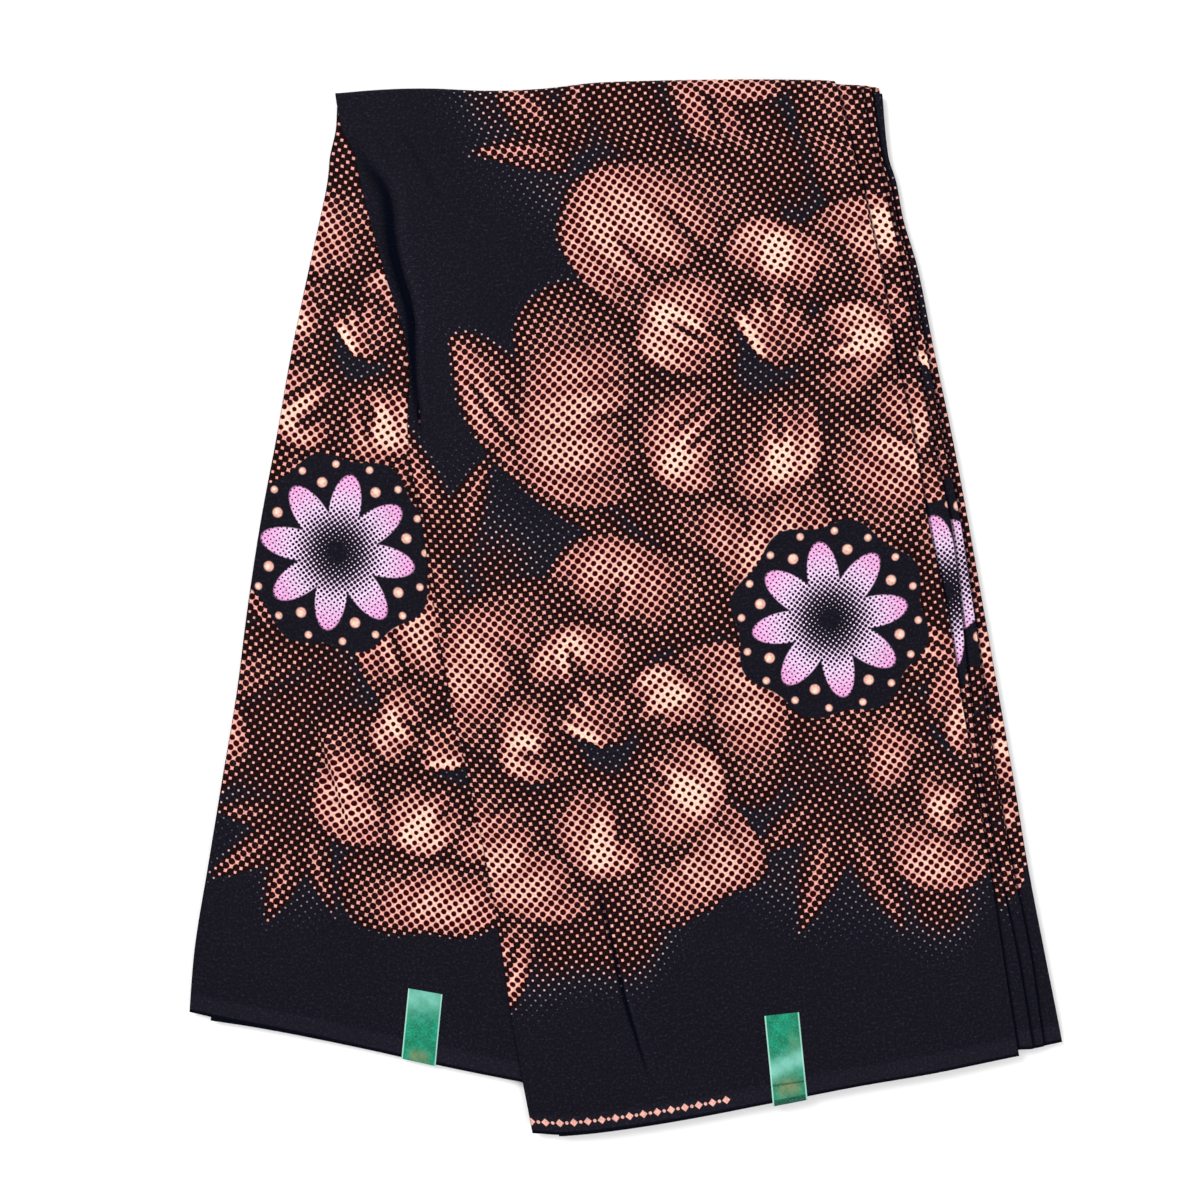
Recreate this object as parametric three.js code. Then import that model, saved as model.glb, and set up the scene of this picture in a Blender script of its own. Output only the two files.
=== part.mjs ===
// A length of wax print cotton, doubled at the top fold and pleated back and forth into
// panels, lying flat in a slightly fanned pile. Two woven labels are folded over its
// selvedge. Millimetres: +X to the right, +Y towards the top fold, +Z up, table at z = 0.
import * as THREE from "three";

// Cloth: every stretch that shows is one wall, and the walls lie one gap apart.
const WALL = 1.2;
const GAP = 0.3;
const LAYER = WALL + GAP;

// Heights of the pile's upper surface above the table.
const MIDDLE_TOP = 12.3;
const LEFT_TOP = 9.0;
const LEFT_ROUND = { width: 30, drop: 0.8 };
const FOLD_SHOULDER = 46;
const EDGE_ROUND = { width: 50, drop: 0.9 };
const HEM_ROUND = { width: 95, drop: 1.2 };
const HEM_BLEND = 30;

// The rounded top fold: how far it takes to turn over, and how far down it turns.
const NOSE_LENGTH = 9.5;
const NOSE_DROP = 5.0;
const NOSE_LEAST = 0.6;

// How far the covered layers tuck in under the front panel, and stay back from the edges.
const LEFT_TUCK = 30;
const RIGHT_TUCK = 45;
const CORE_INSET = 3;
const CORE_BOTTOM = WALL + GAP;
const CORE_NOSE_EXTRA = 1.0;
const CORE_NOTCH = { before: 2, after: 4.5 };
const CORE_STEP = 4.5;
const TUCK_CLEARANCE = 1.5;
const RIDGES = 4;
const RIDGE_DEPTH = 1.3;
const RIDGE_CLEARANCE = 0.8;
const BACK_INSET = 0.8;

// How finely the walls are faceted: down the cloth, round the top fold, over the shoulder
// beside the front panel's left fold, and beside its right fold.
const BODY_ROWS = 22;
const NOSE_ROWS = 4;
const SHOULDER_OFFSETS = [0, 7.5, 15, 22.5, 30, 38];
const EDGE_OFFSETS = [-34, -17, 0];
const SEEK_PASSES = 6;

// Where each fold line lies, as x at a row of sections through the pile at y.
// left: the lowest panel's fold; fold and edge: the front panel's two folds;
// second, third and outer: the folds of the layers fanned out under it.
const SECTIONS = [
  { y: -310, left: -262, fold: -53.5, edge: 238, second: 247, third: 253, outer: 266 },
  { y: -250, left: -256.4, fold: -64.7, edge: 228, second: 237.2, third: 244, outer: 255 },
  { y: -200, left: -252.3, fold: -72, edge: 220, second: 228.6, third: 236.5, outer: 245 },
  { y: -150, left: -244.1, fold: -80.8, edge: 212.4, second: 217.5, third: 226, outer: 235.3 },
  { y: -100, left: -235.9, fold: -91.4, edge: 204.1, second: 207.3, third: 217, outer: 227.1 },
  { y: -50, left: -227.6, fold: -102.3, edge: 195.5, second: 201, third: 210, outer: 218.3 },
  { y: 0, left: -221.2, fold: -111.4, edge: 187.5, second: 196.2, third: 203.5, outer: 209.5 },
  { y: 50, left: -213.6, fold: -118.7, edge: 176.7, second: 190, third: 196, outer: 200.7 },
  { y: 100, left: -204.2, fold: -126.9, edge: 168.2, second: 179.2, third: 186, outer: 191.3 },
  { y: 150, left: -195.4, fold: -127.2, edge: 157.7, second: 169.6, third: 176, outer: 180.8 },
  { y: 200, left: -184.9, fold: -141.6, edge: 148.8, second: 161.7, third: 166.5, outer: 170.8 },
  { y: 250, left: -174.3, fold: -155, edge: 138, second: 150.9, third: 155.5, outer: 159.7 },
  { y: 310, left: -171, fold: -166, edge: 122, second: 136, third: 143, outer: 149.5 },
];

// The top fold, and the two selvedges: the left panel's and the front panel's.
const TOP_FOLD = [
  { x: -169, y: 301.5 },
  { x: -150, y: 304 },
  { x: -115, y: 304.8 },
  { x: -80, y: 303.5 },
  { x: -48, y: 304.8 },
  { x: -15, y: 308.4 },
  { x: 50, y: 310 },
  { x: 115, y: 309.9 },
  { x: 128, y: 308.9 },
  { x: 141, y: 308.2 },
  { x: 151, y: 306.4 },
];
const LEFT_HEM = [
  { x: -256, y: -237.6 },
  { x: -240, y: -240.9 },
  { x: -195, y: -249 },
  { x: -150, y: -259 },
  { x: -105, y: -269 },
  { x: -60, y: -278 },
  { x: -20, y: -286 },
];
const FRONT_HEM = [
  { x: -54, y: -307.6 },
  { x: -35, y: -308.2 },
  { x: 0, y: -304.2 },
  { x: 45, y: -297.2 },
  { x: 90, y: -288.5 },
  { x: 135, y: -279.8 },
  { x: 180, y: -272 },
  { x: 225, y: -263 },
  { x: 229.5, y: -262.3 },
  { x: 232, y: -260 },
  { x: 256, y: -254.6 },
];

// Labels: the middle of the end at the selvedge, the lean of the strip (x for each mm up),
// its size, and the depth of the panel that carries it.
const LABELS = [
  { name: "label_left", hem: LEFT_HEM, x: -121.3, lean: 0.098, width: 20, length: 41, depth: LAYER },
  { name: "label_right", hem: FRONT_HEM, x: 96.2, lean: -0.098, width: 20.2, length: 49.5, depth: 0 },
];
const LABEL_WALL = 1.0;
const LABEL_LIP = 1.6;
const LABEL_COLUMNS = 4;
const LABEL_ROWS = 6;

const CLOTH = new THREE.MeshStandardMaterial({ color: 0x59403f, roughness: 0.62, metalness: 0 });
const CLOTH_EDGE = new THREE.MeshStandardMaterial({ color: 0x2a262e, roughness: 0.7, metalness: 0 });
const LABEL_GREEN = new THREE.MeshStandardMaterial({ color: 0x2f9a78, roughness: 0.4, metalness: 0 });

const lerp = THREE.MathUtils.lerp;
const ease = (t) => THREE.MathUtils.smoothstep(t, 0, 1);

// A smooth reading of one column of a table whose rows rise in the column named by key.
function read(table, key, name, at) {
  const last = table.length - 1;
  let i = 0;
  while (i < last - 1 && table[i + 1][key] < at) i += 1;
  const slopeAt = (k) => {
    const low = table[Math.max(k - 1, 0)];
    const high = table[Math.min(k + 1, last)];
    return (high[name] - low[name]) / (high[key] - low[key]);
  };
  const span = table[i + 1][key] - table[i][key];
  const t = (at - table[i][key]) / span;
  if (t < 0) return table[i][name] + slopeAt(i) * t * span;
  if (t > 1) return table[i + 1][name] + slopeAt(i + 1) * (t - 1) * span;
  const [p, q] = [table[i][name], table[i + 1][name]];
  const [m, n] = [slopeAt(i) * span, slopeAt(i + 1) * span];
  const t2 = t * t;
  const t3 = t2 * t;
  return (2 * t3 - 3 * t2 + 1) * p + (t3 - 2 * t2 + t) * m + (3 * t2 - 2 * t3) * q + (t3 - t2) * n;
}

const lineAt = (name, y) => read(SECTIONS, "y", name, y);
const hemAt = (hem, x) => read(hem, "x", "y", x);

// Height of the pile's upper surface: thick in the middle, rounded off towards the left
// panel, the right-hand folds and the selvedge.
function pileTop(x, y) {
  const pastFold = x - lineAt("fold", y);
  const hemY = lerp(hemAt(LEFT_HEM, x), hemAt(FRONT_HEM, x), ease(pastFold / HEM_BLEND + 0.5));
  const shoulder = (MIDDLE_TOP - LEFT_TOP) * ease(pastFold / FOLD_SHOULDER);
  const left = LEFT_ROUND.drop * (1 - ease((x - lineAt("left", y)) / LEFT_ROUND.width));
  const right = EDGE_ROUND.drop * (1 - ease((lineAt("edge", y) - x) / EDGE_ROUND.width));
  const hem = HEM_ROUND.drop * (1 - ease((y - hemY) / HEM_ROUND.width));
  return LEFT_TOP + shoulder - left - right - hem;
}

// Columns run down the cloth from the top fold to a selvedge, at given shares of the way
// from one line to another. A line is a fold's name and a distance to the right of it.
const line = (fold, offset = 0) => ({ fold, offset });
const lineX = ({ fold, offset }, y) => lineAt(fold, y) + offset;

function columnsBetween(from, to, shares, hem, depth, hemInset = 0) {
  return shares.map((share) => ({
    xAt: (y) => lerp(lineX(from, y), lineX(to, y), share),
    hemY: (x) => hemAt(hem, x) + hemInset,
    depth,
  }));
}

// Columns at given distances to the right of one fold.
function columnsBeside(fold, offsets, hem, depth, hemInset = 0) {
  return offsets.map((offset) => ({
    xAt: (y) => lineAt(fold, y) + offset,
    hemY: (x) => hemAt(hem, x) + hemInset,
    depth,
  }));
}

const evenShares = (count) => Array.from({ length: count + 1 }, (_, i) => i / count);

// Rows of a wall: first round the top fold, then down the panel.
const ROWS = [
  ...evenShares(NOSE_ROWS).map((turn) => ({ turn: (turn * Math.PI) / 2, down: 0 })),
  ...evenShares(BODY_ROWS)
    .slice(1)
    .map((down) => ({ turn: Math.PI / 2, down })),
];

// A point on the pile at some depth under its upper surface. Deeper layers turn the top
// fold on a smaller radius, so all walls stay one gap apart round it.
function pilePoint(column, row, depth, extraNose = 0) {
  const reach = Math.max(NOSE_LENGTH - depth, NOSE_LEAST);
  const fall = Math.max(NOSE_DROP - depth, NOSE_LEAST) + extraNose;
  const turned = reach * (1 - Math.cos(row.turn));
  let x = column.xAt(0);
  let y = 0;
  for (let pass = 0; pass < SEEK_PASSES; pass += 1) {
    const foldTop = read(TOP_FOLD, "x", "y", x) - depth - turned;
    y = lerp(foldTop, column.hemY(x), row.down);
    x = column.xAt(y);
  }
  const z = pileTop(x, y) - depth - fall * (1 - Math.sin(row.turn));
  return new THREE.Vector3(x, y, z);
}

const skin = (columns, depth, extraNose = 0, rows = ROWS) =>
  rows.map((row) => columns.map((column) => pilePoint(column, row, column.depth + depth, extraNose)));

// One closed body between an outer and an inner grid of points. Its rim passes through the
// given levels, each a share of the way in and a distance out past the rim. The rim stands
// out along the cloth, or level with the table.
function closedBody(outer, inner, levels, outLevel) {
  const rowCount = outer.length;
  const columnCount = outer[0].length;
  const points = [...outer.flat(), ...inner.flat()];
  const faces = [];
  const innerStart = rowCount * columnCount;
  const at = (i, j) => i * columnCount + j;
  for (let i = 0; i < rowCount - 1; i += 1) {
    for (let j = 0; j < columnCount - 1; j += 1) {
      const [a, b, c, d] = [at(i, j), at(i + 1, j), at(i + 1, j + 1), at(i, j + 1)];
      faces.push(a, b, c, a, c, d);
      faces.push(innerStart + a, innerStart + c, innerStart + b);
      faces.push(innerStart + a, innerStart + d, innerStart + c);
    }
  }

  // The rim's points in turn: along the top, down the right, back along the hem, up the left.
  const rim = [];
  const [lastRow, lastColumn] = [rowCount - 1, columnCount - 1];
  for (let j = 0; j < lastColumn; j += 1) rim.push([0, j]);
  for (let i = 0; i < lastRow; i += 1) rim.push([i, lastColumn]);
  for (let j = lastColumn; j > 0; j -= 1) rim.push([lastRow, j]);
  for (let i = lastRow; i > 0; i -= 1) rim.push([i, 0]);
  const inward = (k, last) => THREE.MathUtils.clamp(k, 1, last - 1);
  const outward = rim.map(([i, j]) => {
    const from = outer[inward(i, lastRow)][inward(j, lastColumn)];
    const direction = outer[i][j].clone().sub(from);
    if (outLevel) direction.z = 0;
    return direction.normalize();
  });

  const loops = [rim.map(([i, j]) => at(i, j))];
  for (const level of levels) {
    loops.push(
      rim.map(([i, j], k) => {
        const out = typeof level.out === "function" ? level.out(i, j) : level.out;
        const point = outer[i][j].clone().lerp(inner[i][j], level.share);
        points.push(point.addScaledVector(outward[k], out));
        return points.length - 1;
      }),
    );
  }
  loops.push(rim.map(([i, j]) => innerStart + at(i, j)));
  for (let n = 0; n < loops.length - 1; n += 1) {
    for (let k = 0; k < rim.length; k += 1) {
      const next = (k + 1) % rim.length;
      const [a, b, c, d] = [loops[n][k], loops[n][next], loops[n + 1][next], loops[n + 1][k]];
      faces.push(a, b, c, a, c, d);
    }
  }

  const geometry = new THREE.BufferGeometry().setFromPoints(points);
  geometry.setIndex(faces);
  geometry.computeVertexNormals();
  return geometry;
}

const pile = new THREE.Group();

function addNode(name, geometry, material) {
  const mesh = new THREE.Mesh(geometry, material);
  mesh.name = name;
  pile.add(mesh);
}

// A folded or selvedge edge is half round, over the thickness of its wall.
const roundEdge = (wall) => [{ share: 0.5, out: wall / 2 }];

function addPanel(name, columns) {
  const geometry = closedBody(skin(columns, 0), skin(columns, WALL), roundEdge(WALL), false);
  addNode(name, geometry, CLOTH);
}

// The even stretch of the pile, between the shoulder and the rounding at the right fold.
const middleColumns = (count, depth, hemInset) =>
  columnsBetween(
    line("fold", FOLD_SHOULDER),
    line("edge", -EDGE_ROUND.width),
    evenShares(count),
    FRONT_HEM,
    depth,
    hemInset,
  );

// The front panel, from its left fold over the shoulder to its right fold.
addPanel("front_panel", [
  ...columnsBeside("fold", SHOULDER_OFFSETS, FRONT_HEM, 0),
  ...middleColumns(6, 0),
  ...columnsBeside("edge", EDGE_OFFSETS, FRONT_HEM, 0),
]);

// The panel fanned out to the left, which goes in under the front one.
const tuckOffsets = SHOULDER_OFFSETS.filter((offset) => offset <= LEFT_TUCK);
addPanel("left_panel", [
  ...columnsBetween(line("left"), line("fold"), [0, 0.05, 0.12, 0.25, 0.5, 0.75], LEFT_HEM, LAYER),
  ...columnsBeside("fold", tuckOffsets, LEFT_HEM, LAYER),
]);

// The folds fanned out to the right, each one layer lower and further out than the last.
["second", "third", "outer"].forEach((fold, index) => {
  const from = line("edge", -RIGHT_TUCK);
  const depth = LAYER * (index + 1);
  const columns = columnsBetween(from, line(fold), evenShares(4), FRONT_HEM, depth);
  addPanel(`right_layer_${index + 1}`, columns);
});

// Columns over the whole fanned outline, for what lies under the panels. The left panel's
// selvedge ends short of the front panel's, so the outline steps between two columns at
// the front fold.
function wholeOutline(inset, depths) {
  const leftShares = [0, 0.06, 0.14, 0.3, 0.55, 0.8, 1];
  const leftFrom = line("left", inset);
  const leftTo = line("fold", CORE_NOTCH.before);
  const tuck = [CORE_NOTCH.after, ...tuckOffsets.slice(2, -1), LEFT_TUCK + TUCK_CLEARANCE];
  const rightFrom = line("edge", TUCK_CLEARANCE / 2 - RIGHT_TUCK - CORE_STEP / 2);
  const rightTo = line("outer", -inset);
  return [
    ...columnsBetween(leftFrom, leftTo, leftShares, LEFT_HEM, depths.left, inset),
    ...columnsBeside("fold", tuck, FRONT_HEM, depths.left, inset),
    ...columnsBeside("fold", [LEFT_TUCK + TUCK_CLEARANCE + CORE_STEP], FRONT_HEM, depths.middle, inset),
    ...middleColumns(5, depths.middle, inset),
    ...columnsBetween(rightFrom, rightTo, evenShares(3), FRONT_HEM, depths.right, inset),
  ];
}

// The hidden layers are one solid. It fills the pile up to the walls that cover it, and its
// sides show the folds of the layers as ridges.
const coreColumns = wholeOutline(CORE_INSET, { left: 2 * LAYER, middle: LAYER, right: 4 * LAYER });
const coreTop = skin(coreColumns, 0, CORE_NOSE_EXTRA);
const coreBottom = coreTop.map((row) => row.map((p) => new THREE.Vector3(p.x, p.y, CORE_BOTTOM)));
const ridgeReach = (i, j) => (i === 0 ? coreColumns[j].depth : CORE_INSET) - RIDGE_CLEARANCE;
const ridgeLevels = [];
for (let k = 0; k < RIDGES; k += 1) {
  ridgeLevels.push({ share: (k + 0.5) / RIDGES, out: ridgeReach });
  if (k < RIDGES - 1) {
    ridgeLevels.push({ share: (k + 1) / RIDGES, out: (i, j) => ridgeReach(i, j) - RIDGE_DEPTH });
  }
}
addNode("hidden_layers", closedBody(coreTop, coreBottom, ridgeLevels, true), CLOTH_EDGE);

// The underside of the pile: the last run of cloth, flat on the table.
const backColumns = wholeOutline(BACK_INSET, { left: 0, middle: 0, right: 0 });
const backRows = [ROWS[0], ...ROWS.filter((_, i) => i >= NOSE_ROWS && (i - NOSE_ROWS) % 2 === 0)];
const backPlan = skin(backColumns, 0, 0, backRows);
const flatAt = (z) => backPlan.map((row) => row.map((p) => new THREE.Vector3(p.x, p.y, z)));
addNode("back_panel", closedBody(flatAt(WALL), flatAt(0), roundEdge(WALL), true), CLOTH);

// A label lies on its panel near the selvedge and turns down over the edge.
function addLabel(label) {
  const place = (across, up, above) => {
    const baseX = label.x + across;
    const baseY = hemAt(label.hem, baseX);
    const x = baseX + label.lean * up;
    const y = baseY + up - label.lean * across;
    return new THREE.Vector3(x, y, pileTop(x, y) - label.depth + above);
  };
  const acrossAt = evenShares(LABEL_COLUMNS).map((share) => (share - 0.5) * label.width);
  const bodyUps = evenShares(LABEL_ROWS).map((share) => label.length * (1 - share));
  const under = (up, above) => acrossAt.map((across) => place(across, up, above));
  const outer = [
    ...bodyUps.map((up) => under(up, GAP + LABEL_WALL)),
    under(-LABEL_LIP - LABEL_WALL, GAP + LABEL_WALL),
    under(-LABEL_LIP - LABEL_WALL, -WALL),
  ];
  const inner = [
    ...bodyUps.map((up) => under(up, GAP)),
    under(-LABEL_LIP, GAP),
    under(-LABEL_LIP, -WALL),
  ];
  addNode(label.name, closedBody(outer, inner, [], false), LABEL_GREEN);
}

LABELS.forEach(addLabel);

export default pile;
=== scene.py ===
"""A length of waxed cotton print, doubled at the top fold and pleated into a flat pile.

The pile lies on a table, fanned at its lower end, with two satin labels folded over the
selvedge. Sizes are in millimetres until a mesh is made; then everything is in metres.
"""

import math

import bpy
import numpy as np
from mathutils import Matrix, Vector


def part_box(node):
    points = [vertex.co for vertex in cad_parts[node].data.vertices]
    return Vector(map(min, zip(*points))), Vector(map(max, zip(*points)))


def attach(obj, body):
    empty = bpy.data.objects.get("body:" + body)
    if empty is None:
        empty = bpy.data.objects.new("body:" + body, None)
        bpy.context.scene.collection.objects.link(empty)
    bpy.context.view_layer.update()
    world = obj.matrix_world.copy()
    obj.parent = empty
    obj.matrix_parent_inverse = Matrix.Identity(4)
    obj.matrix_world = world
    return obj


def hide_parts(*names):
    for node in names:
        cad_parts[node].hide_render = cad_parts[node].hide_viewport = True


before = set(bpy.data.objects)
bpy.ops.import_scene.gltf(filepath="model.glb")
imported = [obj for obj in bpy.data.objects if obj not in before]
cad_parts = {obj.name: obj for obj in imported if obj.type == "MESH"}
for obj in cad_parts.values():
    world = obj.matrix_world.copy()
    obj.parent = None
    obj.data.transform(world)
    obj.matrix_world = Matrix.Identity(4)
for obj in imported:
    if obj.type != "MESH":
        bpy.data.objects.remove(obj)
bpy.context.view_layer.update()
MM = 0.001

# ------------------ sizes of the pile (mm)

WALL = 1.2  # one doubled run of cloth, with the air in it
GAP = 0.3
LAYER = WALL + GAP
CLOTH = 0.34  # a single thickness of cloth
FOLD_RADIUS = WALL / 2

MIDDLE_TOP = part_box("front_panel")[1][2] / MM
LEFT_TOP = 9.0
# How the top rounds off at its sides: over which width, and by how much.
ROUNDS = {"left": (30, 0.8), "edge": (50, 0.9), "hem": (95, 1.2)}
FOLD_SHOULDER = 46
HEM_BLEND = 30
NOSE_LENGTH = 9.5
NOSE_DROP = 5.0
NOSE_LEAST = 0.6
LEFT_TUCK = 30
RIGHT_TUCK = 45
FOLD_RETURN = 9  # how far a fold's lower run is followed back under
MESH_STEP = 2.5  # spacing of the points on the cloth that shows


def table_of(names, *rows):
    """A table whose rows are read by name."""
    return tuple(dict(zip(names.split(), row)) for row in rows)


# Where each fold line lies, as x at a row of sections through the pile at y.
SECTIONS = table_of(
    "y left fold edge second third outer",
    (-310, -262, -53.5, 238, 247, 253, 266),
    (-250, -256.4, -64.7, 228, 237.2, 244, 255),
    (-200, -252.3, -72, 220, 228.6, 236.5, 245),
    (-150, -244.1, -80.8, 212.4, 217.5, 226, 235.3),
    (-100, -235.9, -91.4, 204.1, 207.3, 217, 227.1),
    (-50, -227.6, -102.3, 195.5, 201, 210, 218.3),
    (0, -221.2, -111.4, 187.5, 196.2, 203.5, 209.5),
    (50, -213.6, -118.7, 176.7, 190, 196, 200.7),
    (100, -204.2, -126.9, 168.2, 179.2, 186, 191.3),
    (150, -195.4, -127.2, 157.7, 169.6, 176, 180.8),
    (200, -184.9, -141.6, 148.8, 161.7, 166.5, 170.8),
    (228, -178.7, -149.4, 142.4, 155.2, 159.0, 162.6),
    (250, -174.3, -155, 138, 150.3, 154.4, 158.4),
    (266, -172.9, -158.2, 133.4, 145.6, 149.6, 153.6),
    (310, -171, -166, 122, 136, 143, 149.5),
)
# At the top left corner the front fold is pulled out over the panel under it.
CORNER_PULL = {"left": (3.0, 262, 22), "fold": (-5.2, 266, 16)}
# The top fold and the lower selvedges.
TOP_FOLD = table_of(
    "x y",
    (-169, 303), (-150, 304.2), (-115, 304.8), (-80, 303.5), (-48, 304.8),
    (-15, 308.4), (50, 310), (115, 309.9), (128, 308.9), (141, 308.2), (151, 306.4),
)
LEFT_HEM = table_of(
    "x y",
    (-256, -236.8), (-240, -240.3), (-195, -249),
    (-150, -259), (-105, -269), (-60, -278), (-20, -286),
)
FRONT_HEM = table_of(
    "x y",
    (-54, -307.6), (-35, -308.2), (0, -304.2), (45, -297.2), (90, -288.5),
    (135, -279.8), (180, -272), (225, -263), (231, -261.8), (256, -256.8),
)
LAYER_HEM = table_of(
    "x y",
    (-54, -307.0), (-35, -307.6), (0, -303.7), (45, -296.7), (90, -288.0),
    (135, -279.3), (180, -270.8), (215, -261.0), (230, -258.6), (239, -258.0),
    (246, -256.6), (256, -254.4),
)

# Creases that handling has left: the half width, how deep it is, how high the cloth stands
# up beside it, how strong the painted shade in its trough and the painted highlight on its
# ridge are, what is left of the width at the far end, how much cloth is drawn in, and the
# line that it follows.
CREASES = table_of(
    "width depth lift dark taper pinch path",
    (4.2, 2.4, 0.6, 1.15, 0.4, 2.4, (
        (-158, 273), (-151, 260), (-143, 250), (-139, 241), (-137.4, 231),
        (-136.7, 220), (-135, 208), (-131, 193), (-127, 181), (-124.8, 168),
        (-124.2, 150), (-123.4, 134), (-121.5, 118), (-119, 96),
    )),
    (1.1, 1.0, 0.4, 1.35, 1, 0, (
        (-17.5, -158), (-15, -167), (-10, -185), (-6, -202), (0, -229), (14, -275),
    )),
    (2.6, 0.6, 0.4, 0.4, 1, 0, ((-25, 170), (-22, 152), (-18, 138))),
    (1.6, 0.5, 0.2, 0.25, 1, 1.6, ((-8, 210), (-7, 185), (-9, 160))),
    (2.6, 0.6, 0.4, 0.35, 1, 0, ((-136, 290), (-128, 276), (-111, 247), (-104, 230))),
    (2.0, 0.5, 0.3, 0.35, 1, 0, ((-150, 284), (-141, 268), (-132, 252))),
    (2.2, 1.0, 0.5, 0.3, 1, 2.6, ((-189, -56), (-180, -74), (-172, -98), (-160, -136))),
    (3.0, 0.4, 0.25, 0.2, 1, 0, ((-214, 20), (-196, -14), (-182, -30))),
    (5.0, 0.3, 0.2, 0.0, 1, 0, ((-238, -190), (-200, -214), (-150, -222))),
    (6.0, 0.4, 0.2, 0.1, 1, 0, ((60, 250), (84, 190), (96, 120))),
    (5.0, 0.4, 0.2, 0.1, 1, 0, ((120, 60), (150, -20), (166, -96))),
    (6.5, 0.4, 0.15, 0.0, 1, 0, ((30, -60), (66, -120), (88, -200))),
    (5.5, 0.4, 0.25, 0.1, 1, 0, ((-84, -20), (-60, -90), (-52, -160))),
    (4.5, 0.3, 0.2, 0.0, 1, 0, ((104, -190), (150, -232), (196, -250))),
)
# Long, shallow swells of the pile: length across and down the cloth, and their height.
SWELLS = table_of(
    "across down phase height",
    (170, 420, 0.6, 0.28),
    (95, 260, 2.1, 0.16),
    (61, -150, 4.0, 0.08),
)


def read(table, key, name, at):
    """A smooth reading of one column of a table, at values of its key column."""
    keys, values = (np.array([row[column] for row in table], float) for column in (key, name))
    at = np.asarray(at, float)
    last = len(keys) - 1
    slopes = np.empty(last + 1)
    slopes[1:-1] = (values[2:] - values[:-2]) / (keys[2:] - keys[:-2])
    slopes[0] = (values[1] - values[0]) / (keys[1] - keys[0])
    slopes[-1] = (values[-1] - values[-2]) / (keys[-1] - keys[-2])
    i = np.clip(np.searchsorted(keys, at) - 1, 0, last - 1)
    span = keys[i + 1] - keys[i]
    t = (at - keys[i]) / span
    inside = (
        (2 * t**3 - 3 * t**2 + 1) * values[i]
        + (t**3 - 2 * t**2 + t) * slopes[i] * span
        + (3 * t**2 - 2 * t**3) * values[i + 1]
        + (t**3 - t**2) * slopes[i + 1] * span
    )
    before = values[i] + slopes[i] * t * span
    after = values[i + 1] + slopes[i + 1] * (t - 1) * span
    return np.where(t < 0, before, np.where(t > 1, after, inside))


def line_at(name, y):
    reach, start, over = CORNER_PULL.get(name, (0, 0, 1))
    return read(SECTIONS, "y", name, y) + reach * ease((y - start) / over)


def edge_at(table, x):
    return read(table, "x", "y", x)


def ease(t):
    t = np.clip(t, 0, 1)
    return t * t * (3 - 2 * t)


def mix(a, b, t):
    return a + (b - a) * t


def crease_shape(x, y):
    """How far the creases sink or lift the cloth at x, y, their painted shading, and how they
    draw it in.

    The mark is painted shading: below 0 in a trough, where it paints shade, and above 0 on
    a ridge, where it paints a highlight.
    """
    relief, mark, drawn = np.zeros_like(x), np.zeros_like(x), np.zeros_like(x)
    for crease in CREASES:
        points = np.array(crease["path"], float)
        steps = np.diff(points, axis=0)
        lengths = np.hypot(steps[:, 0], steps[:, 1])
        starts = np.concatenate([[0], np.cumsum(lengths)])
        width = crease["width"]
        low, high = points.min(axis=0) - 4 * width, points.max(axis=0) + 4 * width
        near = (x > low[0]) & (x < high[0]) & (y > low[1]) & (y < high[1])
        px, py = x[near], y[near]
        best, side, along = np.full(px.shape, 1e9), np.zeros_like(px), np.zeros_like(px)
        for k, (step, length) in enumerate(zip(steps, lengths)):
            dx, dy = px - points[k, 0], py - points[k, 1]
            t = np.clip((dx * step[0] + dy * step[1]) / length**2, 0, 1)
            away = np.hypot(dx - t * step[0], dy - t * step[1])
            closer = away < best
            best = np.where(closer, away, best)
            side = np.where(closer, np.sign(step[0] * dy - step[1] * dx) * away, side)
            along = np.where(closer, starts[k] + t * length, along)
        fade = np.sin(np.pi * np.clip(along / starts[-1], 0.02, 0.98)) ** 0.6
        width = width * mix(1, crease["taper"], along / starts[-1])
        slope = np.where(side < 0, 1.5, 0.75)  # gentler on the left of the line
        trough = fade * np.exp(-((best / (slope * width)) ** 2))
        ridge = fade * np.exp(-(((side - 1.9 * width) / (1.2 * width)) ** 2))
        relief[near] += crease["lift"] * ridge - crease["depth"] * trough
        # Painted shading: painted shade in the trough, a weaker painted highlight on the ridge.
        mark[near] += crease["dark"] * (0.4 * ridge - trough)
        beside = np.tanh(side / width) * np.exp(-((best / (1.9 * width)) ** 2))
        drawn[near] += crease["pinch"] * fade * beside
    return relief, mark, drawn


def swell_relief(x, y):
    relief = np.zeros_like(x)
    for swell in SWELLS:
        turn = 2 * math.pi * (x / swell["across"] + y / swell["down"]) + swell["phase"]
        relief += swell["height"] * np.sin(turn)
    return relief


def pile_top(x, y):
    """Height of the pile's upper surface, with its creases and swells."""
    past_fold = x - line_at("fold", y)
    hem_y = mix(edge_at(LEFT_HEM, x), edge_at(FRONT_HEM, x), ease(past_fold / HEM_BLEND + 0.5))
    top = LEFT_TOP + (MIDDLE_TOP - LEFT_TOP) * ease(past_fold / FOLD_SHOULDER)
    inside = {"left": x - line_at("left", y), "edge": line_at("edge", y) - x, "hem": y - hem_y}
    for side, (width, drop) in ROUNDS.items():
        top = top - drop * (1 - ease(inside[side] / width))
    return top + (crease_shape(x, y)[0] + swell_relief(x, y))


# ------------------ making meshes


def grid_of(x, y, z):
    return np.stack(np.broadcast_arrays(x, y, z), axis=-1)


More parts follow.
